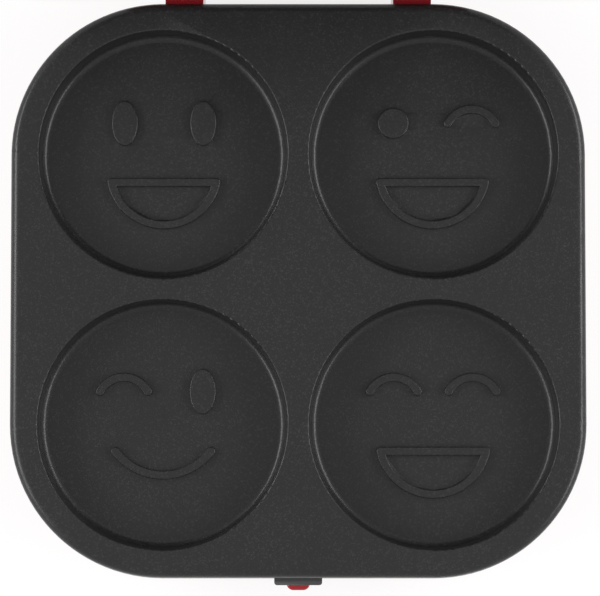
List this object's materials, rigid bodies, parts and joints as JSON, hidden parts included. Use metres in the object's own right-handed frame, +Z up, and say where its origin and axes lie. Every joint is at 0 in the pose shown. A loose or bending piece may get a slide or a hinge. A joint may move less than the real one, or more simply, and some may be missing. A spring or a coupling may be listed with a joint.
{
  "type": "pancake maker",
  "caption": "Countertop pancake maker with four round wells, a hinged lid that stands upright, a front latch and two heated non-stick plates.",
  "frame": {"origin": "middle of the footprint on the surface that the feet stand on, with the lid upright", "axes": "+X to the right, +Y towards the hinge, +Z up; the front catch is at -Y"},
  "size_m": [0.241, 0.3064, 0.3342],
  "materials": {
    "red_shell": "glossy red moulded housing",
    "black_plastic": "satin black moulding",
    "nonstick": "die-cast plate with dark speckled non-stick coating",
    "rubber": "matte rubber",
    "steel": "zinc-plated steel",
    "heater_sheath": "oxidised element sheath",
    "shield_sheet": "aluminised sheet",
    "ceramic": "unglazed steatite",
    "lead_sleeve": "glass-fibre sleeve",
    "red_lens": "clear red lens",
    "green_lens": "clear green lens",
    "lamp_glass": "small neon lamp"
  },
  "bodies": {
    "base": {"base_shell": "red_shell", "base_cover": "black_plastic", "base_cover_screws": "steel", "feet": "rubber", "lower_plate": "nonstick", "lower_plate_screws": "steel", "lower_heater": "heater_sheath", "lower_heater_terminals": "steel", "lower_heater_clamps": "steel", "lower_clamp_screws": "steel", "lower_heat_shield": "shield_sheet", "thermostat": "ceramic", "thermostat_screws": "steel", "thermal_fuse": "steel", "fuse_clip": "steel", "terminal_block": "ceramic", "cord_gland": "black_plastic", "gland_nut": "black_plastic", "supply_leads": "lead_sleeve", "base_leads": "lead_sleeve", "base_link_lead": "lead_sleeve", "front_catch": "black_plastic", "catch_screws": "steel", "hinge_pins": "steel"},
    "lid": {"lid_shell": "red_shell", "upper_plate": "nonstick", "upper_plate_screws": "steel", "upper_heater": "heater_sheath", "upper_heater_terminals": "steel", "upper_heater_clamps": "steel", "upper_clamp_screws": "steel", "upper_heat_shield": "shield_sheet", "lid_terminal_block": "ceramic", "lid_link_lead": "lead_sleeve", "lid_leads": "lead_sleeve", "lid_handle": "black_plastic", "handle_screws": "steel", "latch_pin": "steel", "power_lens": "red_lens", "ready_lens": "green_lens", "lamp_holder": "black_plastic", "holder_screws": "steel", "indicator_lamps": "lamp_glass"},
    "latch": {"latch_clip": "black_plastic"}
  },
  "joints": [
    {"name": "lid_hinge", "type": "hinge", "parent": "base", "child": "lid", "pos_m": [0, 0.10487, 0.05], "axis": [1, 0, 0], "range_deg": [0, 90]},
    {"name": "latch_pivot", "type": "hinge", "parent": "lid", "child": "latch", "pos_m": [0, 0.12293, 0.311], "axis": [1, 0, 0], "range_deg": [0, 25]}
  ]
}
